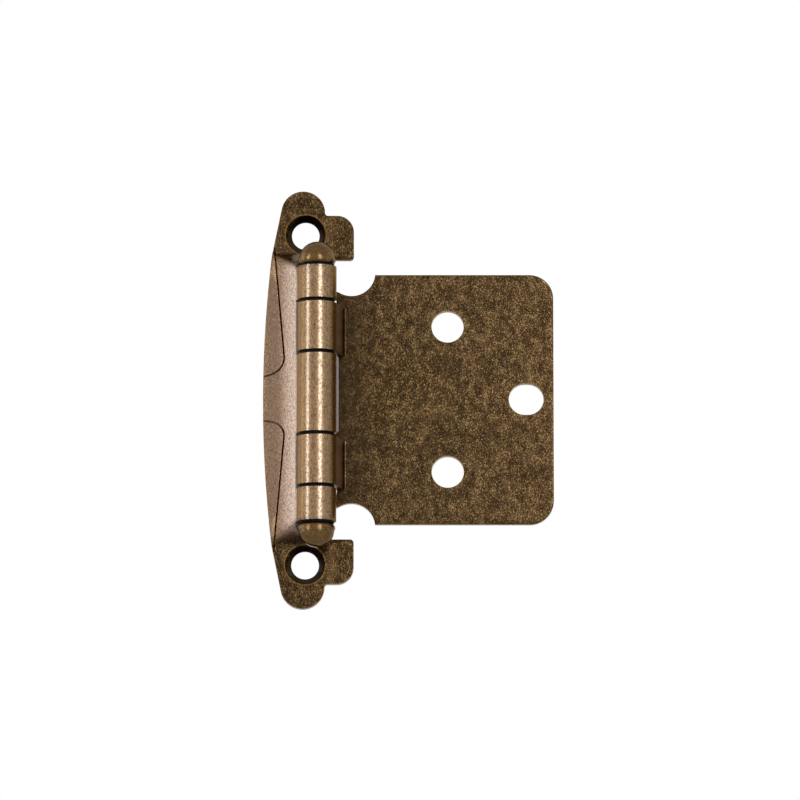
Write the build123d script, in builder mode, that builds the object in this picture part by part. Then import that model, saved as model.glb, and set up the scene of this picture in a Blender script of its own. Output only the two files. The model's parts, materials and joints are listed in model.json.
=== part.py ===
# Self-closing face-mount cabinet hinge, in millimetres.
# X runs across the leaves, Y runs into the cabinet, Z runs up along the pin.
# The origin lies midway between the two frame screw holes, on the back of the frame leaf's ends.
# The hinge is drawn closed: the door leaf lies in one plane with the frame leaf's ends.
import os
from math import asin, atan2, cos, radians, sin, sqrt

from build123d import *

# Sheet, pin and barrel
sheet = 1.5                 # both leaves are pressed from this steel sheet
pin_diameter = 3.4
running_clearance = 0.05    # radial, between the pin and each knuckle's bore
end_knuckle = 5.5           # frame leaf, top and bottom of the barrel
door_knuckle = 8.1          # door leaf, two of them
centre_knuckle = 13.1       # frame leaf, open curl that houses the spring
knuckle_gap = 0.6
axis_height = 6.5           # pin axis in front of the leaves' back faces
axis_offset = 1.96          # pin axis beside the frame screw line

# Frame leaf, flat ends: a round lobe and a side tab at each end
screw_spacing = 55.56
screw_hole = 4.6
countersink_rim = 6.7
countersink_angle = 82
lobe_radius = 3.65
lobe_offset = 0.42          # lobe's centre beside the screw line
lobe_above_screw = 3.72     # and past the screw
tab_reach = 8.05            # tab's end, from the screw line
tab_rise = 3.25             # tab's sides past the screw and short of it
tab_drop = 4.2
tab_outer_radius = 2.8
tab_inner_radius = 0.6
lobe_tab_radius = 0.5       # inside corner between lobe and tab

# Frame leaf, flank: the sheet rises from the bowed outer side to the barrel
bow_middle = 7.05           # outer side at mid-height, from the screw line
bow_end = 5.55              # outer side where the flank has come down to the flat end
flank_slope = 31            # degrees, at the outer side; it grows towards the barrel
flank_fall = 3.3            # length beyond the barrel in which the flank comes down
flank_join = 0.2            # flank meets the barrel this far outside and behind its widest line
swing_gap = 0.25            # between the flank and the turning door knuckles and finials
end_curl_wrap = 300         # degrees that an end knuckle goes round the pin
centre_curl_wrap = 174
curl_corner_radius = 0.5

# Coined line near the outer side, as heights above mid-height and distances from the screw line
coin_width = 0.3
coin_depth = 0.3
coin_top_height = 25.7
coin_top_reach = 5.2
coin_corner_height = 4.5
coin_corner_reach = 3.3
coin_end_height = 3.6
coin_turn_radius = 2.6
coin_overrun = 0.4          # the line runs off the outer side by this much

# Door leaf
door_inset = 0.35           # plate's sides, short of the barrel's ends
door_reach = 39.3           # from the pin axis to the far side
door_corner_radius = 4.0
door_rim_chamfer = 0.2      # softened rim left by the press tool
riser_lean = 13             # degrees that the wall up to the knuckle leans over the plate
riser_inner_radius = 0.4
door_curl_wrap = 290
relief_radius = 3.95        # round bites beside the barrel's ends
relief_reach = 5.7          # their centres, from the pin axis
relief_rise = 0.4           # and past the plate's side
tongue_reach = 2.2          # plate's end behind the centre knuckle, from the pin axis
door_hole = 5.35
pair_hole_reach = 21.7
pair_hole_spacing = 24.45
slot_inset = 4.55           # oval hole's centre, from the far side
slot_width = 5.3
slot_length = 5.8

# Cam flat on the pin and the spring that bears on it
flat_from_axis = 1.25
spring_sheet = 0.6
spring_clearance = 0.05
spring_end_gap = 0.2        # between the spring and the knuckles above and below it
spring_foot_length = 3.0    # along the back of the flank
spring_bend_radius = 0.9    # at the middle of the strip
spring_lip_inset = 0.15     # spring's outer wall inside the barrel's radius
spring_lip_gap = 0.3        # between the lip's end and the curl's free end

# Acorn finials
finial_gap = 0.4            # between an end knuckle and its finial
finial_radius = 3.1
finial_foot_radius = 2.8
finial_foot_height = 0.5    # sloping part under the bead
finial_bead_height = 0.95
finial_step = 0.12          # fine step where the bead meets the dome
finial_height = 3.9
spigot_radius = 1.2         # turned-down pin end inside the finial
spigot_length = 2.2
socket_depth = 2.4

# Sizes that follow from those above
pin_radius = pin_diameter / 2
bore_radius = pin_radius + running_clearance
barrel_radius = bore_radius + sheet
centre_half = centre_knuckle / 2
door_knuckle_start = centre_half + knuckle_gap
end_knuckle_start = door_knuckle_start + door_knuckle + knuckle_gap
barrel_half = end_knuckle_start + end_knuckle
screw_height = screw_spacing / 2
lobe_height = screw_height + lobe_above_screw
tab_top = screw_height + tab_rise
tab_bottom = screw_height - tab_drop
flank_end = barrel_half + flank_fall
axis_point = (axis_offset, -axis_height)


def around(centre, radius, angle):
    """Point at an angle in degrees on a circle, in a section across the pin."""
    return centre[0] + radius * cos(radians(angle)), centre[1] + radius * sin(radians(angle))


# Flank's section: front line from foot to top, back line one sheet behind it
flank_foot = Vector(-bow_middle, -sheet)
flank_top = Vector(axis_offset - barrel_radius - flank_join, flank_join - axis_height)
flank_chord = flank_top - flank_foot
flank_through = Vector(-flank_chord.Y, flank_chord.X) * (sheet / flank_chord.length)
flank_way = (cos(radians(flank_slope)), -sin(radians(flank_slope)))
foot_inside = flank_foot + flank_through
top_inside = flank_top + flank_through
end_rise = axis_height - sheet
end_through = sheet * sqrt(flank_fall**2 + end_rise**2) / end_rise


def between_ends(inset):
    """Side view of the flank, with sloping ends set in by a length."""
    with BuildSketch(Plane.YZ) as side_view:
        with BuildLine():
            corners = [(0, flank_end - inset), (-sheet, flank_end - inset), (-axis_height, barrel_half - inset)]
            Polyline(*corners, *[(y, -z) for y, z in reversed(corners)], close=True)
        make_face()
    return side_view.sketch


# Hollow behind the flank
with BuildPart() as flank_hollow:
    with BuildSketch():
        with BuildLine():
            back_line = TangentArc(foot_inside, top_inside, tangent=flank_way)
            Polyline(back_line @ 1, (top_inside.X, 0), (foot_inside.X, 0), back_line @ 0)
        make_face()
    extrude(amount=flank_end, both=True)
    extrude(between_ends(end_through), amount=2 * bow_middle, both=True, mode=Mode.INTERSECT)

# Frame leaf before its knuckles: a flank that rises to the barrel and two flat ends
with BuildPart() as frame_blank:
    with BuildSketch():
        with BuildLine():
            front_line = TangentArc(flank_foot, flank_top, tangent=flank_way)
            Polyline(front_line @ 1, top_inside, (top_inside.X, 0), (-bow_middle, 0), front_line @ 0)
        make_face()
    extrude(amount=flank_end, both=True)
    extrude(between_ends(0), amount=2 * bow_middle, both=True, mode=Mode.INTERSECT)
    with BuildSketch(Plane.XZ):
        with BuildLine():
            bow = ThreePointArc((-bow_end, -flank_end), (-bow_middle, 0), (-bow_end, flank_end))
            Polyline(bow @ 1, (top_inside.X, flank_end), (top_inside.X, -flank_end), bow @ 0)
        make_face()
    extrude(amount=axis_height, mode=Mode.INTERSECT)
    add(flank_hollow.part, mode=Mode.SUBTRACT)

    for side in (1, -1):
        start = Vector(-bow_end, flank_end)
        to_lobe = Vector(-lobe_offset, lobe_height) - start
        run = sqrt(to_lobe.length**2 - lobe_radius**2)
        lean = atan2(to_lobe.Y, to_lobe.X) + asin(lobe_radius / to_lobe.length)
        touch = start + Vector(run * cos(lean), run * sin(lean))
        outline = [
            (start.X, start.Y),
            (touch.X, touch.Y),
            (-lobe_offset, lobe_height),
            (-lobe_offset, tab_bottom),
            (top_inside.X, tab_bottom),
            (top_inside.X, flank_end),
        ]
        with BuildSketch(Plane.XZ):
            with BuildLine():
                Polyline(*[(x, side * z) for x, z in outline], close=True)
            make_face()
            with Locations((-lobe_offset, side * lobe_height)):
                Circle(lobe_radius)
            with Locations(((tab_reach - lobe_offset) / 2, side * (tab_top + tab_bottom) / 2)):
                Rectangle(tab_reach + lobe_offset, tab_rise + tab_drop)
            lobe_meets_tab = sqrt(lobe_radius**2 - (lobe_height - tab_top) ** 2) - lobe_offset
            fillet(vertices().sort_by_distance((lobe_meets_tab, side * tab_top))[0], lobe_tab_radius)
            fillet(vertices().sort_by_distance((tab_reach, side * tab_top))[0], tab_outer_radius)
            fillet(vertices().sort_by_distance((tab_reach, side * tab_bottom))[0], tab_inner_radius)
        extrude(amount=sheet)

# Coined lines, one in each half, pressed to one depth all along
with BuildPart() as coined_lines:
    for side in (1, -1):
        with BuildSketch(Plane.XZ):
            with BuildLine():
                FilletPolyline(
                    (-coin_top_reach, side * coin_top_height),
                    (-coin_corner_reach, side * coin_corner_height),
                    (-bow_middle - coin_overrun, side * coin_end_height),
                    radius=coin_turn_radius,
                )
            trace(line_width=coin_width)
        extrude(amount=axis_height)
    add(frame_blank.part, mode=Mode.INTERSECT)
    add(frame_blank.part.moved(Location((0, coin_depth, 0))), mode=Mode.SUBTRACT)

with BuildPart() as frame_leaf:
    add(frame_blank.part)
    add(coined_lines.part, mode=Mode.SUBTRACT)

    # Countersunk frame screw holes
    for side in (1, -1):
        with Locations(Plane((0, -sheet, side * screw_height), x_dir=(1, 0, 0), z_dir=(0, -1, 0))):
            CounterSinkHole(
                screw_hole / 2, countersink_rim / 2, depth=2 * sheet, counter_sink_angle=countersink_angle
            )

    # Room for the door leaf's knuckles and the finials to turn
    turning = (
        (door_knuckle_start - knuckle_gap, door_knuckle + 2 * knuckle_gap),
        (barrel_half, flank_fall),
    )
    for side in (1, -1):
        for bottom, length in turning:
            with BuildSketch(Plane.XY.offset(side * bottom)):
                with Locations(axis_point):
                    Circle(barrel_radius + swing_gap)
            extrude(amount=side * length, mode=Mode.SUBTRACT)

    # Knuckles: the sheet leaves the flank and curls over the front of the pin
    curls = (
        (-barrel_half, end_knuckle, end_curl_wrap),
        (-centre_half, centre_knuckle, centre_curl_wrap),
        (end_knuckle_start, end_knuckle, end_curl_wrap),
    )
    for bottom, length, wrap in curls:
        with BuildSketch(Plane.XY.offset(bottom)):
            with BuildLine():
                curl_outside = CenterArc(axis_point, barrel_radius, 180, wrap)
                curl_inside = CenterArc(axis_point, bore_radius, 180, wrap)
                Line(curl_outside @ 1, curl_inside @ 1)
                Polyline(curl_outside @ 0, flank_top, top_inside, curl_inside @ 0)
            make_face()
        extrude(amount=length)

    # The centre curl's free end has rounded corners
    free_end = around(axis_point, bore_radius + sheet / 2, 180 + centre_curl_wrap)
    for side in (1, -1):
        corner = Vector(free_end[0], free_end[1], side * centre_half)
        fillet(frame_leaf.edges().sort_by_distance(corner)[0], curl_corner_radius)
frame_leaf.part.label = "frame_leaf"


# Door leaf, drawn from the pin axis: x runs along the plate away from the pin
door_section = Plane((axis_offset, -axis_height, 0), x_dir=(1, 0, 0), z_dir=(0, 0, 1))
door_back = Plane((axis_offset, 0, 0), x_dir=(1, 0, 0), z_dir=(0, -1, 0))
door_half = barrel_half - door_inset

# The knuckle's wall leaves the barrel on a tangent and leans out to the plate
lean_sine = sin(radians(riser_lean))
lean_cosine = cos(radians(riser_lean))
plate_front = axis_height - sheet
wall_foot_outside = (barrel_radius + plate_front * lean_sine) / lean_cosine
wall_foot_inside = (bore_radius + axis_height * lean_sine) / lean_cosine
plate_start = wall_foot_inside
bend_end = wall_foot_outside + sheet

with BuildPart() as door_leaf:
    with BuildSketch(door_back):
        with BuildLine():
            Polyline(
                (plate_start, -door_half),
                (door_reach, -door_half),
                (door_reach, door_half),
                (plate_start, door_half),
                close=True,
            )
        make_face()
        fillet(vertices().group_by(Axis.X)[-1], door_corner_radius)
        for side in (1, -1):
            with Locations((relief_reach, side * (door_half + relief_rise))):
                Circle(relief_radius, mode=Mode.SUBTRACT)
            with Locations((plate_start, side * (door_knuckle_start + door_knuckle / 2))):
                Rectangle(2 * (bend_end - plate_start), door_knuckle, mode=Mode.SUBTRACT)
        with Locations(((tongue_reach + plate_start) / 2, 0)):
            Rectangle(plate_start - tongue_reach, centre_knuckle)
        with Locations((pair_hole_reach, pair_hole_spacing / 2), (pair_hole_reach, -pair_hole_spacing / 2)):
            Circle(door_hole / 2, mode=Mode.SUBTRACT)
        with Locations((door_reach - slot_inset, 0)):
            SlotOverall(slot_length, slot_width, mode=Mode.SUBTRACT)
    extrude(amount=sheet)

    # Softened rim on the visible side, clear of the knuckles
    door_rim = door_leaf.faces().sort_by(Axis.Y)[0].outer_wire().edges()
    chamfer(
        door_rim.filter_by(
            lambda edge: abs(edge.center().Z) > end_knuckle_start
            or edge.center().X > axis_offset + pair_hole_reach
        ),
        door_rim_chamfer,
    )

    # Knuckles: the wall rises from the plate, passes the pin and curls back round it
    for bottom in (-door_knuckle_start - door_knuckle, door_knuckle_start):
        with BuildSketch(door_section.offset(bottom)):
            with BuildLine():
                curl_outside = CenterArc((0, 0), barrel_radius, -riser_lean, -door_curl_wrap)
                curl_inside = CenterArc((0, 0), bore_radius, -riser_lean, -door_curl_wrap)
                Line(curl_outside @ 1, curl_inside @ 1)
                front_side = FilletPolyline(
                    curl_outside @ 0,
                    (wall_foot_outside, plate_front),
                    (bend_end, plate_front),
                    radius=riser_inner_radius,
                )
                back_side = FilletPolyline(
                    curl_inside @ 0,
                    (wall_foot_inside, axis_height),
                    (bend_end, axis_height),
                    radius=riser_inner_radius + sheet,
                )
                Line(front_side @ 1, back_side @ 1)
            make_face()
        extrude(amount=door_knuckle)
door_leaf.part.label = "door_leaf"


# Pin: a plain rod with one cam flat facing the spring and a turned-down spigot at each end
shank_half = barrel_half + finial_gap
with BuildPart() as hinge_pin:
    with BuildSketch(Plane.XY.offset(-shank_half)):
        with Locations(axis_point):
            Circle(pin_radius)
    extrude(amount=2 * shank_half)
    with BuildSketch(Plane.XY.offset(-shank_half - spigot_length)):
        with Locations(axis_point):
            Circle(spigot_radius)
    extrude(amount=2 * (shank_half + spigot_length))
    with BuildSketch(Plane.XY.offset(-centre_half)):
        with Locations((axis_offset, -axis_height + flat_from_axis + pin_radius)):
            Rectangle(2 * pin_diameter, 2 * pin_radius)
    extrude(amount=centre_knuckle, mode=Mode.SUBTRACT)
hinge_pin.part.label = "hinge_pin"


# Closing spring: a strip that bears on the back of the flank, crosses behind the pin on the
# cam flat and turns up beside the centre curl's free end
strip_line = -axis_height + flat_from_axis + spring_clearance + spring_sheet / 2
lip_line = axis_offset + barrel_radius - spring_lip_inset - spring_sheet / 2
lip_end = around(axis_point, bore_radius, 180 + centre_curl_wrap)[1] + spring_lip_gap
spring_half = centre_half - spring_end_gap
top_slope = 2 * atan2(-flank_chord.Y, flank_chord.X) - radians(flank_slope)
foot_way = Vector(cos(top_slope), -sin(top_slope))
foot_off = Vector(sin(top_slope), cos(top_slope)) * (spring_clearance + spring_sheet / 2)
foot_top = top_inside + foot_off
heel = foot_top + foot_way * ((strip_line - foot_top.Y) / foot_way.Y)
foot_end = heel - foot_way * spring_foot_length

with BuildPart() as closing_spring:
    with BuildSketch(Plane.XY.offset(-spring_half)):
        with BuildLine():
            FilletPolyline(
                foot_end, heel, (lip_line, strip_line), (lip_line, lip_end), radius=spring_bend_radius
            )
        trace(line_width=spring_sheet)
    extrude(amount=2 * spring_half)
closing_spring.part.label = "closing_spring"


# Finials: turned acorns pressed on the pin's two ends
def acorn(end):
    """Acorn finial for the pin's upper (end = 1) or lower (end = -1) end."""
    foot_centre = (axis_offset, -axis_height, end * shank_half)
    dome_radius = finial_radius - finial_step
    with BuildPart() as finial:
        with BuildSketch(Plane(foot_centre, x_dir=(1, 0, 0), z_dir=(0, -end, 0))):
            with BuildLine():
                dome = TangentArc((0, finial_height), (dome_radius, finial_bead_height), tangent=(1, 0))
                Polyline(
                    dome @ 0,
                    (0, 0),
                    (finial_foot_radius, 0),
                    (finial_radius, finial_foot_height),
                    (finial_radius, finial_bead_height),
                    dome @ 1,
                )
            make_face()
        revolve(axis=Axis(foot_centre, (0, 0, 1)))
        with BuildSketch(Plane(foot_centre, x_dir=(1, 0, 0), z_dir=(0, 0, end))):
            Circle(spigot_radius)
        extrude(amount=socket_depth, mode=Mode.SUBTRACT)
    return finial.part


os.makedirs("parts", exist_ok=True)
export_step(frame_leaf.part, "parts/frame_leaf.step")
export_step(door_leaf.part, "parts/door_leaf.step")
export_step(hinge_pin.part, "parts/hinge_pin.step")
export_step(closing_spring.part, "parts/closing_spring.step")
for finial_name, end in (("upper_finial", 1), ("lower_finial", -1)):
    finial = acorn(end)
    finial.label = finial_name
    export_step(finial, f"parts/{finial_name}.step")
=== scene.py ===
# %% [markdown]
# A self-closing cabinet hinge in aged brass: a bowed leaf for the cabinet frame, a flat leaf for
# the door, a rolled barrel between them and an acorn on each end of its pin. The solids come from
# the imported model, and this lesson gives them soft edges, a finish, light and a camera.

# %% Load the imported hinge
import json
import math

import bmesh
import bpy
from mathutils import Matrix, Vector


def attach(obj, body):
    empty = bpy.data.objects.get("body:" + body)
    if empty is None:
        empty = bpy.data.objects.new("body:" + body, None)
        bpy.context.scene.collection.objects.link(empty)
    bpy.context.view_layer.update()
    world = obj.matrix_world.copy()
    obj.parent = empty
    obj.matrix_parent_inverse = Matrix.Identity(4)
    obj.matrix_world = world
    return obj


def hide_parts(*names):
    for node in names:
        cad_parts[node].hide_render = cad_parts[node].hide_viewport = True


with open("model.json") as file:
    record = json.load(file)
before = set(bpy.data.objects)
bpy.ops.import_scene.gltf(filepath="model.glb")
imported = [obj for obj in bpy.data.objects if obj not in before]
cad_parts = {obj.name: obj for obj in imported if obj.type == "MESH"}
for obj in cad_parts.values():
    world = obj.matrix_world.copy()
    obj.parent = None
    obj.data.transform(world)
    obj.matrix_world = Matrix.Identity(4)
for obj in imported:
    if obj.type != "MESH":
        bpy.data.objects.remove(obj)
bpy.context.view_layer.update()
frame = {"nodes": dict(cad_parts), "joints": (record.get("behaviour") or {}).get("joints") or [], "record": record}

nodes = frame["nodes"]
pin_axis = Vector(frame["joints"][0]["pos_m"])
scene = bpy.context.scene
scene.view_settings.view_transform = "Standard"

# %% [markdown]
# The photograph was taken with a long lens, straight in front of the closed hinge and from slightly
# below its middle. The camera is placed by those two angles and a distance. Its lens follows from
# the number of pixels that one metre covers, and the point that it looks at is found by stepping
# sideways from the pin.

# %% Camera
camera_azimuth = math.radians(0.0)
camera_elevation = math.radians(-9.55)
camera_distance = 1.2
pixels_per_metre = 6041
image_pixels = 800
pin_pixel = (316.8, 394.1)


def direction(azimuth, elevation):
    """Unit vector from the hinge towards a place round it; azimuth 0 is in front of the frame leaf."""
    flat = math.cos(elevation)
    return Vector((math.sin(azimuth) * flat, -math.cos(azimuth) * flat, math.sin(elevation)))


towards_camera = direction(camera_azimuth, camera_elevation)
view_right = Vector((math.cos(camera_azimuth), math.sin(camera_azimuth), 0))
view_up = towards_camera.cross(view_right)
aim = pin_axis + view_right * ((image_pixels / 2 - pin_pixel[0]) / pixels_per_metre)
aim = aim - view_up * ((image_pixels / 2 - pin_pixel[1]) / pixels_per_metre)
camera_data = bpy.data.cameras.new("photo_camera")
camera_data.sensor_width = 36
camera_data.lens = camera_data.sensor_width * pixels_per_metre * camera_distance / image_pixels
camera_data.clip_start = 0.05
camera = bpy.data.objects.new("photo_camera", camera_data)
camera.location = aim + towards_camera * camera_distance
camera.rotation_euler = towards_camera.to_track_quat("Z", "Y").to_euler()
scene.collection.objects.link(camera)
scene.camera = camera
print("lens", round(camera_data.lens), "mm, camera height", round(camera.location.z, 3), "m")

# %% [markdown]
# Pressed and tumbled parts have no sharp edges. A modifier could round them while rendering, but a
# bevel made once in the mesh also goes along when the hinge is exported. Each solid is copied, its
# loose triangles are joined, flat areas are merged to single faces, and the edges that turn sharply
# get a small round. Each corner takes the mean normal of its faces by area, so large flats stay flat
# and only the rounds turn.

# %% Soften the edges of a solid
join_distance = 2e-6
flat_turn = math.radians(0.5)
sharp_turn = math.radians(28)
round_steps = 3


def shade_by_area(data):
    """Smooth shading whose normals follow the large faces."""
    normals = [Vector() for _ in data.vertices]
    for face in data.polygons:
        for corner in face.vertices:
            normals[corner] += face.area * face.normal
    data.normals_split_custom_set_from_vertices([normal.normalized() for normal in normals])


def soften(node_name, body, edge_round):
    """A copy of a solid with rounded edges that stands for it."""
    mesh = bmesh.new()
    mesh.from_mesh(nodes[node_name].data)
    bmesh.ops.remove_doubles(mesh, verts=mesh.verts, dist=join_distance)
    bmesh.ops.dissolve_limit(
        mesh, angle_limit=flat_turn, verts=mesh.verts, edges=mesh.edges, delimit={"NORMAL"}
    )
    sharp = [edge for edge in mesh.edges if edge.is_manifold and edge.calc_face_angle() > sharp_turn]
    bmesh.ops.bevel(
        mesh, geom=sharp, offset=edge_round, offset_type="OFFSET", affect="EDGES", segments=round_steps,
        profile=0.5, material=-1, clamp_overlap=True,
    )
    for face in mesh.faces:
        face.smooth = True
    data = bpy.data.meshes.new(node_name + "_soft")
    mesh.to_mesh(data)
    mesh.free()
    shade_by_area(data)
    piece = bpy.data.objects.new(node_name + "_soft", data)
    scene.collection.objects.link(piece)
    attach(piece, body)
    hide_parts(node_name)
    print(piece.name, "faces", len(data.polygons), "rounded edges", len(sharp))
    return piece


# %% [markdown]
# The leaves are stamped from sheet, so their edges get the widest round. On the real hinge the door
# plate lies so close beside the two end knuckles that no light shows between them. The plate's side
# could be cut anew there, but sliding its few corners towards the barrel keeps the rounds.

# %% The two leaves
sheet_round = 0.00012
plate_side = 0.0033
plate_side_reach = 0.0002
plate_front = -0.0016
end_knuckle_start = 0.0158
side_slide = 0.0003

frame_leaf = soften("frame_leaf", "frame_side", sheet_round)
door_leaf = soften("door_leaf", "door_side", sheet_round)
slid = 0
for corner in door_leaf.data.vertices:
    on_side = abs(corner.co.x - pin_axis.x - plate_side) < plate_side_reach and corner.co.y > plate_front
    if on_side and abs(corner.co.z) > end_knuckle_start:
        corner.co.x -= side_slide
        slid += 1
print("plate corners moved to the barrel", slid)

# %% [markdown]
# The acorns are turned and the pin and the spring are smooth stock, so their rounds are finer. The
# spring is a bent strip behind the middle knuckle. Its free lip stands out beside that knuckle and
# shows as a thin grey line. The strip could be bent anew, but sliding the corners of the lip out
# from behind the knuckle keeps the rest of the spring where it bears on the pin.

# %% Acorns, spring and pin
turned_round = 0.00004
stock_round = 0.00008
lip_start = 0.00245
lip_slide = 0.0005

upper_finial = soften("upper_finial", "door_side", turned_round)
lower_finial = soften("lower_finial", "door_side", turned_round)
closing_spring = soften("closing_spring", "frame_side", stock_round)
slid = 0
for corner in closing_spring.data.vertices:
    if corner.co.x > pin_axis.x + lip_start:
        corner.co.x += lip_slide
        slid += 1
hinge_pin = soften("hinge_pin", "door_side", stock_round)
print("lip corners moved out", slid)

# %% [markdown]
# The knuckles don't touch, and the gaps between them are filled with near-black rings as painted
# shade, so that no light comes through. Each filling could be a short tube with its ends closed. Here
# a small rectangle is turned once round the pin, which gives a ring with a hole for the pin at once.

# %% Painted shade in the gaps
shade_ring_inside = 0.00176
shade_ring_outside = 0.0029
gaps = ((0.00685, 0.0005), (0.01555, 0.0005), (0.02155, 0.0003))
ring_steps = 48
ring_join = 1e-7

# Near-black rings that fill the knuckle gaps as painted shade.
rings = bmesh.new()
for height, thickness in gaps:
    for side in (1, -1):
        corners = [
            rings.verts.new((pin_axis.x + radius, pin_axis.y, side * height + lift))
            for radius, lift in (
                (shade_ring_inside, -thickness / 2), (shade_ring_outside, -thickness / 2),
                (shade_ring_outside, thickness / 2), (shade_ring_inside, thickness / 2),
            )
        ]
        edges = [rings.edges.new(ends) for ends in zip(corners, corners[1:] + corners[:1])]
        bmesh.ops.spin(
            rings, geom=corners + edges, cent=pin_axis, axis=(0, 0, 1), angle=math.tau,
            steps=ring_steps, use_merge=True,
        )
bmesh.ops.remove_doubles(rings, verts=rings.verts, dist=ring_join)
bmesh.ops.recalc_face_normals(rings, faces=rings.faces)
shade_ring_mesh = bpy.data.meshes.new("gap_shade_rings")
rings.to_mesh(shade_ring_mesh)
rings.free()
gap_shade_rings = bpy.data.objects.new("gap_shade_rings", shade_ring_mesh)
scene.collection.objects.link(gap_shade_rings)
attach(gap_shade_rings, "door_side")
print("grease rings", 2 * len(gaps))

# %% [markdown]
# A finish is a tree of small nodes. Wired one by one they would fill many lines, so each helper here
# adds one node or a few, joins its sockets and gives back what comes out. A mask that fades in
# between two places is a remap from those places to 0 and 1.

# %% Node helpers
def link(tree, source, target):
    tree.links.new(source, target)


def object_place(tree):
    """Place on the piece in metres, which goes along when the piece moves."""
    return tree.nodes.new("ShaderNodeTexCoord").outputs["Object"]


def stretched(tree, scale, shift=(0, 0, 0)):
    """Object place, scaled along each axis and shifted."""
    node = tree.nodes.new("ShaderNodeMapping")
    node.inputs["Location"].default_value = shift
    node.inputs["Scale"].default_value = scale
    link(tree, object_place(tree), node.inputs["Vector"])
    return node.outputs["Vector"]


def noise(tree, vector, scale, detail, roughness):
    node = tree.nodes.new("ShaderNodeTexNoise")
    node.inputs["Scale"].default_value = scale
    node.inputs["Detail"].default_value = detail
    node.inputs["Roughness"].default_value = roughness
    link(tree, vector, node.inputs["Vector"])
    return node.outputs["Fac"]


def remap(tree, value, low, high, to_low=0.0, to_high=1.0):
    """Runs from to_low, where the value is low, to to_high, where it is high."""
    node = tree.nodes.new("ShaderNodeMapRange")
    node.inputs["From Min"].default_value = low
    node.inputs["From Max"].default_value = high
    node.inputs["To Min"].default_value = to_low
    node.inputs["To Max"].default_value = to_high
    link(tree, value, node.inputs["Value"])
    return node.outputs["Result"]


def maths(tree, operation, first, second=0.0):
    node = tree.nodes.new("ShaderNodeMath")
    node.operation = operation
    for socket, value in zip(node.inputs, (first, second)):
        if isinstance(value, (int, float)):
            socket.default_value = value
        else:
            link(tree, value, socket)
    return node.outputs["Value"]


def times(tree, first, second):
    return maths(tree, "MULTIPLY", first, second)


def larger(tree, first, second):
    return maths(tree, "MAXIMUM", first, second)


def distance(tree, first, second):
    """Straight distance from two distances at right angles."""
    squares = maths(tree, "ADD", times(tree, first, first), times(tree, second, second))
    return maths(tree, "SQRT", squares)


def blend(tree, mask, first, second):
    """The first colour where the mask is 0 and the second where it is 1."""
    node = tree.nodes.new("ShaderNodeMix")
    node.data_type = "RGBA"
    link(tree, mask, node.inputs["Factor"])
    for socket, value in ((node.inputs["A"], first), (node.inputs["B"], second)):
        if isinstance(value, tuple):
            socket.default_value = (*value, 1.0)
        else:
            link(tree, value, socket)
    return node.outputs["Result"]


def new_group(name, inputs, values, vectors=()):
    """A shader node group with named inputs and outputs, and the node that its outputs are joined to."""
    group = bpy.data.node_groups.new(name, "ShaderNodeTree")
    for socket_name, default in inputs:
        socket = group.interface.new_socket(socket_name, in_out="INPUT", socket_type="NodeSocketFloat")
        socket.default_value = default
    for kind, socket_names in (("NodeSocketFloat", values), ("NodeSocketVector", vectors)):
        for socket_name in socket_names:
            group.interface.new_socket(socket_name, in_out="OUTPUT", socket_type=kind)
    return group, group.nodes.new("NodeGroupOutput")


print("node helpers ready")

# %% [markdown]
# Aged brass is a brown-black skin that was rubbed back so that gold shows through. Fine noise gives
# the gold its grain, and coarser noise makes it thick in some places and thin in others. A second
# fine noise, set apart from the first, leaves sparse bright glints, and a third leaves dark pits in
# metal that was rubbed bare. A picture of such a skin would blur close by. Noise stays sharp, and
# because every plated piece shares it, it lives in one node group.

# %% Speckle group
rub_stretch = (1.0, 1.0, 0.7)
glint_stretch = (1.0, 1.0, 0.75)
glint_shift = (0.31, 0.17, 0.23)
grain_scale = 4600
mottle_scale = 900
cloud_scale = 160
glint_scale = 5800
pit_scale = 2900
mottle_share = 0.3
cloud_share = 0.06
gold_start = 0.46
gold_full = 0.66
glint_start = 0.55
glint_full = 0.70
pit_start = 0.48
pit_full = 0.66


def swayed(tree, value, texture, share):
    """A value raised or lowered by a share of a texture round its middle."""
    return maths(tree, "ADD", value, times(tree, maths(tree, "SUBTRACT", texture, 0.5), share))


speckle, speckle_out = new_group("rubbed_speckle", (), ("Gold", "Glint", "Grain", "Pits"))
rubbed_place = stretched(speckle, rub_stretch)
grain_noise = noise(speckle, rubbed_place, grain_scale, detail=3.0, roughness=0.8)
mottle = noise(speckle, rubbed_place, mottle_scale, detail=2.0, roughness=0.6)
cloud = noise(speckle, object_place(speckle), cloud_scale, detail=3.0, roughness=0.55)
gold = swayed(speckle, swayed(speckle, grain_noise, mottle, mottle_share), cloud, cloud_share)
link(speckle, remap(speckle, gold, gold_start, gold_full), speckle_out.inputs["Gold"])
link(speckle, grain_noise, speckle_out.inputs["Grain"])
glint_place = stretched(speckle, glint_stretch, glint_shift)
glints = noise(speckle, glint_place, glint_scale, detail=1.5, roughness=0.6)
glints = swayed(speckle, glints, mottle, mottle_share)
link(speckle, remap(speckle, glints, glint_start, glint_full), speckle_out.inputs["Glint"])
pitted = noise(speckle, glint_place, pit_scale, detail=3.0, roughness=0.8)
link(speckle, remap(speckle, pitted, pit_start, pit_full), speckle_out.inputs["Pits"])
print("group", speckle.name, "nodes", len(speckle.nodes))

# %% [markdown]
# Hands and tumbling stones polish what stands proud and leave dirt in what lies low, and the hollows
# are darkened as painted shade as well. Both could be painted by hand, but nodes find them on any
# shape: a bevel node compares the true normal with a rounded one, which shows the edges, and ambient
# occlusion shows the hollows. Both go into a second group, together with the masks of the next steps,
# which follow the hinge's own shape.

# %% Wear group: edges and hollows
edge_width = 0.00035
hollow_reach = 0.0015
edge_start = 0.985
edge_full = 0.88
hollow_start = 0.84
hollow_full = 0.42

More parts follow.
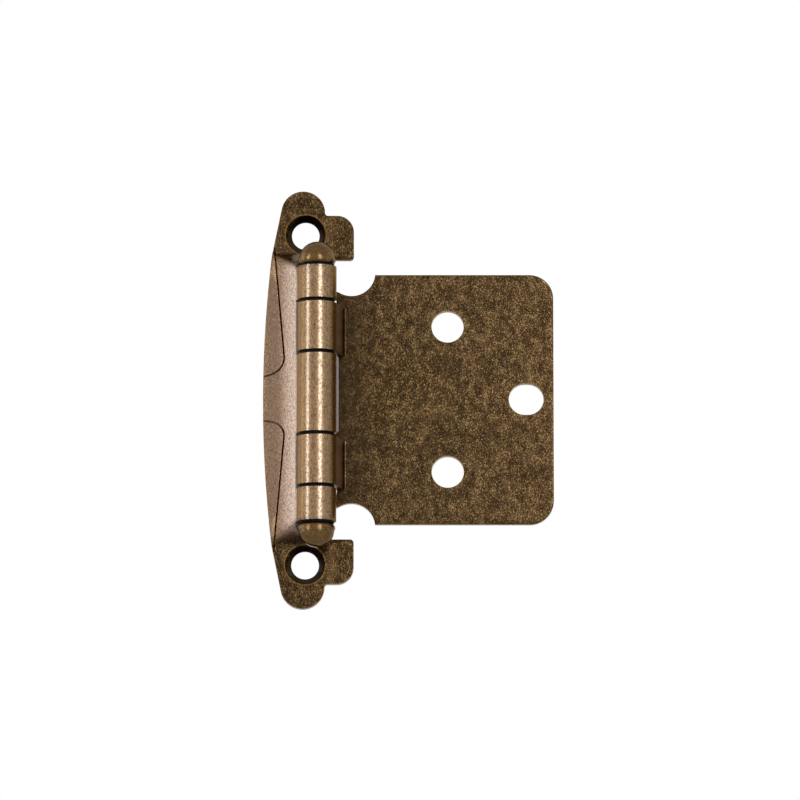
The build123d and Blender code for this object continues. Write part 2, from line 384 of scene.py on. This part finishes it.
wear, wear_out = new_group(
    "wear_dirt_and_painted_light",
    (("Edge Width", edge_width), ("Hollow Reach", hollow_reach)),
    ("Edge", "Hollow", "Barrel", "Riser", "Crest", "Painted Barrel Shadow", "Flank", "Painted Ridge Highlight", "Sink", "Sink Rim"),
    ("Soft Normal",),
)
wear_in = wear.nodes.new("NodeGroupInput")
rounded = wear.nodes.new("ShaderNodeBevel")
rounded.samples = 6
link(wear, wear_in.outputs["Edge Width"], rounded.inputs["Radius"])
agree = wear.nodes.new("ShaderNodeVectorMath")
agree.operation = "DOT_PRODUCT"
link(wear, rounded.outputs["Normal"], agree.inputs[0])
link(wear, wear.nodes.new("ShaderNodeNewGeometry").outputs["Normal"], agree.inputs[1])
edge = remap(wear, agree.outputs["Value"], edge_start, edge_full)
shade = wear.nodes.new("ShaderNodeAmbientOcclusion")
shade.samples = 8
link(wear, wear_in.outputs["Hollow Reach"], shade.inputs["Distance"])
# Ambient occlusion finds the hollows, which are darkened later as dirt and painted shade.
hollow = remap(wear, shade.outputs["AO"], hollow_start, hollow_full)
link(wear, times(wear, edge, maths(wear, "SUBTRACT", 1.0, hollow)), wear_out.inputs["Edge"])
link(wear, hollow, wear_out.inputs["Hollow"])
print("edge width", 1000 * edge_width, "mm, hollow reach", 1000 * hollow_reach, "mm")

# %% [markdown]
# The barrel turns under the hand, so it is rubbed barer than the plates. Its mask is the distance
# from the pin, and it runs on to the risers, the short walls that join the door's knuckles to their
# plate; the risers' walls also get a pale painted sheen. The crest is the front of the barrel, which
# still has its lacquer. The plate beside the barrel is darkened as a painted shadow of the barrel.

# %% Wear group: barrel
barrel_edge = 0.0034
barrel_fade = 0.0002
riser_reach = 0.0062
riser_near = 0.0015
riser_far = 0.0025
riser_wall_near = 0.0031
riser_wall_far = 0.0034
riser_foot = -0.0017
riser_wall_foot = -0.0022
crest_half = 0.0019
crest_end = 0.0027
barrel_shadow_near = 0.0055
barrel_shadow_far = 0.0120
barrel_shadow_top = -0.0024
barrel_shadow_height = 0.0205
barrel_shadow_end = 0.0225

spot = wear.nodes.new("ShaderNodeSeparateXYZ")
link(wear, object_place(wear), spot.inputs["Vector"])
spot_x, spot_y, spot_z = spot.outputs["X"], spot.outputs["Y"], spot.outputs["Z"]
across = maths(wear, "SUBTRACT", spot_x, pin_axis.x)
from_pin = distance(wear, across, maths(wear, "SUBTRACT", spot_y, pin_axis.y))
from_middle = maths(wear, "ABSOLUTE", spot_z)

beside_pin = remap(wear, across, riser_near, riser_far)
riser = times(wear, remap(wear, from_pin, riser_reach, barrel_edge + barrel_fade), beside_pin)
barrel = larger(wear, remap(wear, from_pin, barrel_edge + barrel_fade, barrel_edge), riser)
link(wear, barrel, wear_out.inputs["Barrel"])
# Mask of the pale painted sheen on the risers' walls.
riser_wall = times(wear, remap(wear, across, riser_wall_near, riser_wall_far), riser)
riser_wall = times(wear, riser_wall, remap(wear, spot_y, riser_foot, riser_wall_foot))
link(wear, riser_wall, wear_out.inputs["Riser"])
link(wear, remap(wear, maths(wear, "ABSOLUTE", across), crest_end, crest_half), wear_out.inputs["Crest"])
# Painted shadow of the barrel on the plate beside it.
on_plate = remap(wear, spot_y, barrel_shadow_top, riser_foot)
on_plate = times(wear, on_plate, remap(wear, from_middle, barrel_shadow_end, barrel_shadow_height))
painted_barrel_shadow = times(wear, remap(wear, from_pin, barrel_shadow_far, barrel_shadow_near), on_plate)
link(wear, painted_barrel_shadow, wear_out.inputs["Painted Barrel Shadow"])
print("barrel mask out to", 1000 * barrel_edge, "mm from the pin")

# %% [markdown]
# The flank is the raised part of the frame leaf. It is what a hand meets first, so it is rubbed, and
# its warm veil also holds painted light from the left, with a pale painted highlight on its ridge
# beside the barrel. Its sloping shoulders are pressed over a rounded tool. A fillet in the mesh
# would need many small faces there, so a second bevel node turns only the normals, and its radius
# grows towards the shoulders.

# %% Wear group: flank
flank_foot = -0.0010
flank_full = -0.0026
flank_near = -0.0026
flank_far = -0.0030
flank_height = 0.0212
flank_end = 0.0250
ridge_foot = -0.0036
ridge_full = -0.0062
shoulder_start = 0.0195
shoulder_full = 0.0215
shoulder_fade = 0.0245
shoulder_end = 0.0253
flank_bend = 0.00008
shoulder_bend = 0.0014

flank = times(
    wear, remap(wear, spot_y, flank_foot, flank_full), remap(wear, across, flank_near, flank_far)
)
flank = times(wear, flank, remap(wear, from_middle, flank_end, flank_height))
link(wear, flank, wear_out.inputs["Flank"])
# Mask of the pale painted highlight on the ridge beside the barrel.
painted_ridge_highlight = times(wear, flank, remap(wear, spot_y, ridge_foot, ridge_full))
link(wear, painted_ridge_highlight, wear_out.inputs["Painted Ridge Highlight"])
bend = remap(wear, from_middle, shoulder_start, shoulder_full, flank_bend, shoulder_bend)
bend = times(wear, bend, remap(wear, from_middle, shoulder_end, shoulder_fade))
soft = wear.nodes.new("ShaderNodeBevel")
soft.samples = 8
link(wear, bend, soft.inputs["Radius"])
link(wear, soft.outputs["Normal"], wear_out.inputs["Soft Normal"])
print("flank mask up to", 1000 * flank_end, "mm from the middle")

# %% [markdown]
# The countersinks are darkened nearly to black as dirt and painted shade, most on the side towards
# the barrel, while the side away from it is left lighter as painted light, and the rim round each one
# shines where the screw's head rubbed it. Both follow from the distance to the screw, and they stop
# short of the leaf's back, which lies against the cabinet.

# %% Wear group: countersinks
screws = [mount for mount in frame["record"]["mounts"] if mount["name"] == "frame_screws"][0]
screw_height = screws["dims"]["spacing_y_mm"] / 2000
sink_radius = 0.00335
sink_fade = 0.0001
sink_start = 0.00012
rim_width = 0.0003
front_face = -0.0015
front_far = 0.0002
front_near = 0.0001
back_start = -0.00008
back_end = -0.0002
lit_side = -0.0030
shaded_side = -0.0016
lit_side_share = 0.15

from_screw = distance(wear, spot_x, maths(wear, "SUBTRACT", from_middle, screw_height))
off_back = remap(wear, spot_y, back_start, back_end)
below_front = times(wear, remap(wear, spot_y, front_face, front_face + sink_start), off_back)
sink = times(wear, remap(wear, from_screw, sink_radius, sink_radius - sink_fade), below_front)
# Countersinks left lighter on the side away from the barrel as painted light.
sink_light_by_side = remap(wear, spot_x, lit_side, shaded_side, lit_side_share, 1.0)
link(wear, times(wear, sink, sink_light_by_side), wear_out.inputs["Sink"])
rim = remap(wear, from_screw, sink_radius + rim_width, sink_radius + sink_fade)
rim = maths(wear, "SUBTRACT", rim, sink)
on_front = remap(wear, spot_y, front_face - front_far, front_face - front_near)
link(wear, times(wear, rim, times(wear, on_front, off_back)), wear_out.inputs["Sink Rim"])
print("group", wear.name, "nodes", len(wear.nodes), "screws at", round(1000 * screw_height, 2), "mm")

# %% [markdown]
# The colour of the plating is built in layers: gold specks and glints in the dark skin, a painted
# shadow of the barrel on the plate beside it, a warm veil where the flank was rubbed that also holds
# painted light, a pale painted highlight on the flank's ridge, bright brass on edges and barrel, pits
# that kept their skin, near-black dirt and painted shade in the hollows and the countersinks, and a
# pale painted sheen on the risers' walls. One painted picture could hold all that, but layers can be
# changed one at a time.

# %% Colour of the plating
# The warm veil also holds painted light, the pale colour is a painted highlight and sheen, and the near-black
# colour is dirt and painted shade.
burnished = (0.232, 0.116, 0.022)
warm_veil_and_painted_light = (0.235, 0.138, 0.080)
pale_painted_sheen = (0.35, 0.272, 0.232)
dirt_and_painted_shade = (0.010, 0.006, 0.004)
barrel_shadow_share = 0.75
edge_share = 0.75
pit_share = 0.55
wiped_share = 0.6
painted_riser_sheen = 0.6
grain_low = 0.42
grain_high = 0.58
thinnest_veil = 0.4


def plating_colour(tree, specks, worn, barrel, grain, barrel_share, skin, speck, glint):
    """Colour of the plating, layer by layer; specks and worn are the two groups in this material."""
    colour = blend(tree, specks["Gold"], skin, speck)
    colour = blend(tree, specks["Glint"], colour, glint)
    # Painted shadow of the barrel, darkening the plate beside it.
    colour = blend(tree, times(tree, worn["Painted Barrel Shadow"], barrel_shadow_share), colour, skin)
    veil = remap(tree, specks["Grain"], grain_low, grain_high, thinnest_veil, 1.0)
    # Warm veil on the rubbed flank, which also holds painted light; pale painted highlight on its ridge.
    colour = blend(tree, times(tree, worn["Flank"], veil), colour, warm_veil_and_painted_light)
    colour = blend(tree, times(tree, worn["Painted Ridge Highlight"], veil), colour, pale_painted_sheen)
    rubbed = times(tree, larger(tree, worn["Edge"], worn["Sink Rim"]), edge_share)
    colour = blend(tree, times(tree, larger(tree, barrel, rubbed), grain), colour, burnished)
    bare = larger(tree, barrel, worn["Flank"])
    colour = blend(tree, times(tree, bare, times(tree, specks["Pits"], pit_share)), colour, skin)
    unwiped = maths(tree, "SUBTRACT", 1.0, times(tree, barrel, wiped_share))
    # Near-black dirt and painted shade in the hollows and the countersinks.
    dark = larger(tree, times(tree, worn["Hollow"], unwiped), worn["Sink"])
    colour = blend(tree, dark, colour, dirt_and_painted_shade)
    # Pale painted sheen on the risers' walls.
    return blend(tree, times(tree, worn["Riser"], painted_riser_sheen * barrel_share), colour, pale_painted_sheen)


print("burnished brass", burnished, "pale veil", pale_painted_sheen)

# %% [markdown]
# Brass plate is metal through and through, so the surface is almost fully metallic and its colour is
# what it mirrors. Thin lacquer is left on the crest of the barrel, on the flank and on the acorns. It
# is a coat with its own reflection, which takes no colour from the brass, and that is why the lines
# of light on the barrel look cream. Worn brass turns less white at a grazing angle than new brass
# does, so a brown tint holds that back. A plain brass with one roughness would look new, so the
# specks also vary the gloss and the grain lifts the surface a little.

# %% Aged brass
thinnest_grain = 0.3
flank_lacquer = 0.4
bare_metal = 0.95
lacquered_metal = 0.8
lacquer_roughness = 0.19
lacquer_ior = 1.9
grazing_tint = (0.85, 0.78, 0.68, 1.0)
barrel_rough = 0.36
gloss_change = 0.03
grain_depth = 0.00003


def aged_brass(name, skin, speck, glint, rough, relief, barrel_share, lacquer_least):
    material = bpy.data.materials.new(name)
    material.use_nodes = True
    tree = material.node_tree
    surface = tree.nodes["Principled BSDF"]
    speckle_node = tree.nodes.new("ShaderNodeGroup")
    speckle_node.node_tree = speckle
    specks = speckle_node.outputs
    wear_node = tree.nodes.new("ShaderNodeGroup")
    wear_node.node_tree = wear
    worn = wear_node.outputs
    grain = remap(tree, specks["Grain"], grain_low, grain_high, thinnest_grain, 1.0)
    barrel = times(tree, worn["Barrel"], barrel_share)
    colour = plating_colour(tree, specks, worn, barrel, grain, barrel_share, skin, speck, glint)
    link(tree, colour, surface.inputs["Base Color"])
    lacquer = times(tree, barrel, worn["Crest"])
    lacquer = larger(tree, lacquer, times(tree, worn["Flank"], flank_lacquer))
    link(tree, remap(tree, lacquer, 0.0, 1.0, bare_metal, lacquered_metal), surface.inputs["Metallic"])
    lacquer = larger(tree, lacquer, lacquer_least)
    link(tree, times(tree, lacquer, grain), surface.inputs["Coat Weight"])
    surface.inputs["Coat Roughness"].default_value = lacquer_roughness
    surface.inputs["Coat IOR"].default_value = lacquer_ior
    surface.inputs["Specular Tint"].default_value = grazing_tint
    gloss = remap(tree, specks["Gold"], 0.0, 1.0, rough + gloss_change, rough - gloss_change)
    gloss = maths(tree, "ADD", gloss, times(tree, barrel, barrel_rough - rough))
    link(tree, gloss, surface.inputs["Roughness"])
    bump = tree.nodes.new("ShaderNodeBump")
    bump.inputs["Strength"].default_value = relief
    bump.inputs["Distance"].default_value = grain_depth
    link(tree, specks["Grain"], bump.inputs["Height"])
    link(tree, worn["Soft Normal"], bump.inputs["Normal"])
    link(tree, bump.outputs["Normal"], surface.inputs["Normal"])
    print("material", name)
    return material


# %% [markdown]
# The two leaves come from one plating bath and share one finish. The acorns are turned from solid
# brass and polished, so theirs is yellower and smoother, has no rubbed barrel and keeps a little
# lacquer everywhere.

# %% Plate the leaves and the acorns
leaf_plating = {
    "skin": (0.019, 0.010, 0.004),
    "speck": (0.128, 0.074, 0.031),
    "glint": (0.255, 0.164, 0.072),
    "rough": 0.2,
    "relief": 0.3,
    "barrel_share": 1.0,
    "lacquer_least": 0.0,
}
acorn_polish = {
    "skin": (0.080, 0.040, 0.010),
    "speck": (0.135, 0.073, 0.021),
    "glint": (0.18, 0.104, 0.034),
    "rough": 0.16,
    "relief": 0.05,
    "barrel_share": 0.0,
    "lacquer_least": 0.18,
}

frame_leaf.data.materials.append(aged_brass("aged_brass_frame", **leaf_plating))
door_leaf.data.materials.append(aged_brass("aged_brass_door", **leaf_plating))
acorn_brass = aged_brass("aged_brass_acorn", **acorn_polish)
for acorn in (upper_finial, lower_finial):
    acorn.data.materials.append(acorn_brass)

# %% [markdown]
# The spring and the pin are smooth steel that was drawn through a die. An anisotropic shader could
# stretch their reflections, but fine lines along the pin's direction do it with plain noise. The
# near-black rings in the knuckle gaps, which are painted shade, take the same lines, only darker and duller.

# %% Steel and painted gap shade
line_stretch = (1.0, 1.0, 0.04)
line_scale = 3000
line_low = 0.35
line_high = 0.65
line_shade = 0.7
line_gloss = 0.05


def drawn_steel(name, colour, rough):
    material = bpy.data.materials.new(name)
    material.use_nodes = True
    tree = material.node_tree
    surface = tree.nodes["Principled BSDF"]
    surface.inputs["Metallic"].default_value = 1.0
    lines = noise(tree, stretched(tree, line_stretch), line_scale, detail=2.0, roughness=0.6)
    darker = tuple(line_shade * part for part in colour)
    shaded = blend(tree, remap(tree, lines, line_low, line_high), darker, colour)
    link(tree, shaded, surface.inputs["Base Color"])
    gloss = remap(tree, lines, line_low, line_high, rough + line_gloss, rough - line_gloss)
    link(tree, gloss, surface.inputs["Roughness"])
    print("material", name)
    return material


closing_spring.data.materials.append(drawn_steel("blued_spring_steel", (0.17, 0.145, 0.145), 0.25))
hinge_pin.data.materials.append(drawn_steel("plated_pin_steel", (0.04, 0.026, 0.016), 0.45))
# Near-black painted shade in the knuckle gaps.
gap_shade_rings.data.materials.append(drawn_steel("painted_gap_shade", (0.012, 0.008, 0.006), 0.7))

# %% [markdown]
# Metal looks like what it reflects. A tall strip of light just right of the camera draws the cream
# line down the barrel, a slimmer strip on the left draws a second line, and a broad, dim box further
# round lights the flank. A lamp's power alone says little about how a highlight will look, so the
# power is worked out from how bright the box itself should appear.

# %% Light boxes
lamp_distance = 0.8
lamp_elevation = math.radians(9.5)


def light_box(name, azimuth, width, height, brightness):
    """A rectangular lamp that faces the pin; azimuth in degrees, and a brightness of 1 looks white."""
    data = bpy.data.lights.new(name, "AREA")
    data.shape = "RECTANGLE"
    data.size = width
    data.size_y = height
    data.energy = brightness * math.pi * width * height
    lamp = bpy.data.objects.new(name, data)
    away = direction(math.radians(azimuth), lamp_elevation)
    lamp.location = pin_axis + away * lamp_distance
    lamp.rotation_euler = away.to_track_quat("Z", "Y").to_euler()
    scene.collection.objects.link(lamp)
    print(name, round(data.energy, 2), "W")


light_box("right_strip", azimuth=20.5, width=0.25, height=0.5, brightness=8.8)
light_box("left_strip", azimuth=-55, width=0.2, height=0.5, brightness=7.0)
light_box("side_box", azimuth=-98, width=0.4, height=0.6, brightness=1.5)

# %% [markdown]
# The background is plain white. A white backdrop as bright as that would light the hinge from all
# sides, so the world is white only where the camera or a reflection sees it, and gives a softer,
# dimmer light to everything else.

# %% World
ambient_strength = 0.5


def seen_or_mirrored(tree):
    """1 for what the camera sees, straight or through metal and glass, and 0 for other light."""
    path = tree.nodes.new("ShaderNodeLightPath")
    seen = larger(tree, path.outputs["Is Camera Ray"], path.outputs["Is Glossy Ray"])
    return larger(tree, seen, path.outputs["Is Transmission Ray"])


world = bpy.data.worlds.new("studio")
world.use_nodes = True
scene.world = world
sky = world.node_tree
ambient = sky.nodes["Background"]
ambient.inputs["Color"].default_value = (1, 1, 1, 1)
ambient.inputs["Strength"].default_value = ambient_strength
white = sky.nodes.new("ShaderNodeBackground")
white.inputs["Color"].default_value = (1, 1, 1, 1)
white.inputs["Strength"].default_value = 1.0
choose = sky.nodes.new("ShaderNodeMixShader")
link(sky, seen_or_mirrored(sky), choose.inputs["Fac"])
link(sky, ambient.outputs["Background"], choose.inputs[1])
link(sky, white.outputs["Background"], choose.inputs[2])
link(sky, choose.outputs["Shader"], sky.nodes["World Output"].inputs["Surface"])
print("world", world.name, "ambient strength", ambient_strength)

# %% [markdown]
# The floor lies well below the hinge, which hangs in the air as a part in a catalogue does. A white
# floor alone would look grey beside the white world, so part of what the camera sees of it is a
# plain white glow, and the rest is a matt surface that can still take a shadow.

# %% Floor
floor_height = -0.24
floor_half = 2.0
floor_colour = (0.85, 0.85, 0.85, 1)
floor_rough = 0.9
glow_share = 0.75

ground = bmesh.new()
bmesh.ops.create_grid(ground, x_segments=1, y_segments=1, size=floor_half)
bmesh.ops.translate(ground, verts=ground.verts, vec=(0, 0, floor_height))
ground_mesh = bpy.data.meshes.new("floor")
ground.to_mesh(ground_mesh)
ground.free()
floor = bpy.data.objects.new("floor", ground_mesh)
scene.collection.objects.link(floor)
floor_white = bpy.data.materials.new("floor_white")
floor_white.use_nodes = True
floor_tree = floor_white.node_tree
matt = floor_tree.nodes["Principled BSDF"]
matt.inputs["Base Color"].default_value = floor_colour
matt.inputs["Roughness"].default_value = floor_rough
glow = floor_tree.nodes.new("ShaderNodeEmission")
glow.inputs["Strength"].default_value = 1.0
mix = floor_tree.nodes.new("ShaderNodeMixShader")
link(floor_tree, times(floor_tree, seen_or_mirrored(floor_tree), glow_share), mix.inputs["Fac"])
link(floor_tree, matt.outputs["BSDF"], mix.inputs[1])
link(floor_tree, glow.outputs["Emission"], mix.inputs[2])
link(floor_tree, mix.outputs["Shader"], floor_tree.nodes["Material Output"].inputs["Surface"])
ground_mesh.materials.append(floor_white)
print("floor at", floor_height, "m")
